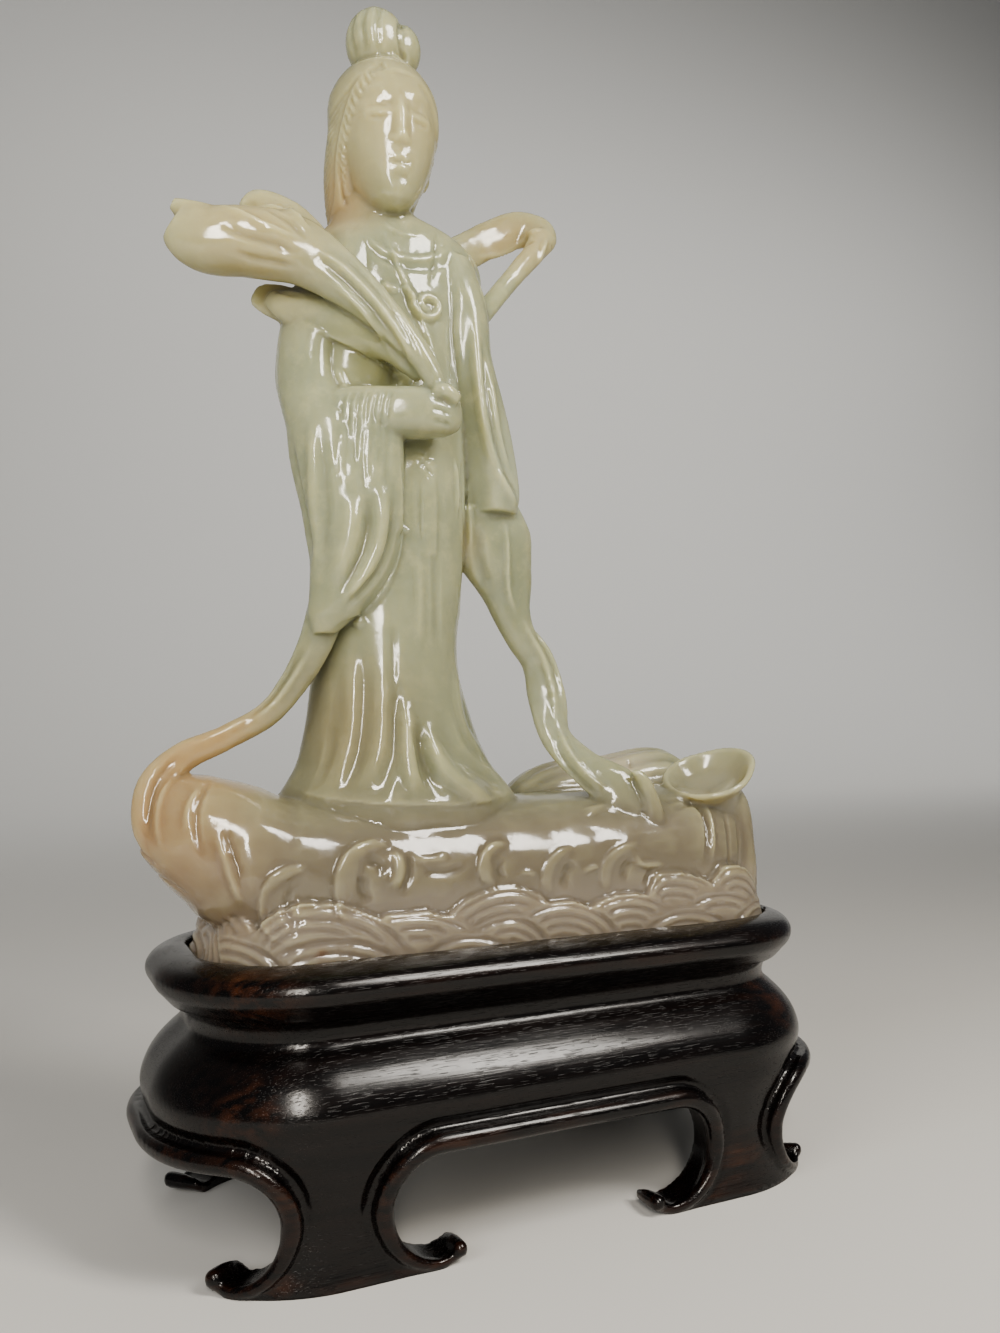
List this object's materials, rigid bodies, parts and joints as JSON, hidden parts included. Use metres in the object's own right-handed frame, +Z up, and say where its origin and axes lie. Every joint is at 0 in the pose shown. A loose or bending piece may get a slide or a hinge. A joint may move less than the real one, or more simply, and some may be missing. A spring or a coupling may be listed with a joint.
{
  "type": "guanyin figurine on stand",
  "caption": "Pale jade standing robed figure with a lotus and floating scarf, on a log raft among waves, resting in a carved dark hardwood stand with scroll feet.",
  "frame": {"origin": "middle of the stand's footprint, on the surface it stands on", "axes": "+Z up, +X to the figure's left along the raft, the figure faces -Y"},
  "size_m": [0.1264, 0.062, 0.2152],
  "materials": {
    "jade": "pale grey-green nephrite, polished to a wet gloss, slightly translucent",
    "hardwood": "near-black rosewood, waxed and rubbed to a satin sheen"
  },
  "bodies": {
    "root": {"jade_figure": "jade", "wooden_stand": "hardwood"}
  },
  "joints": []
}
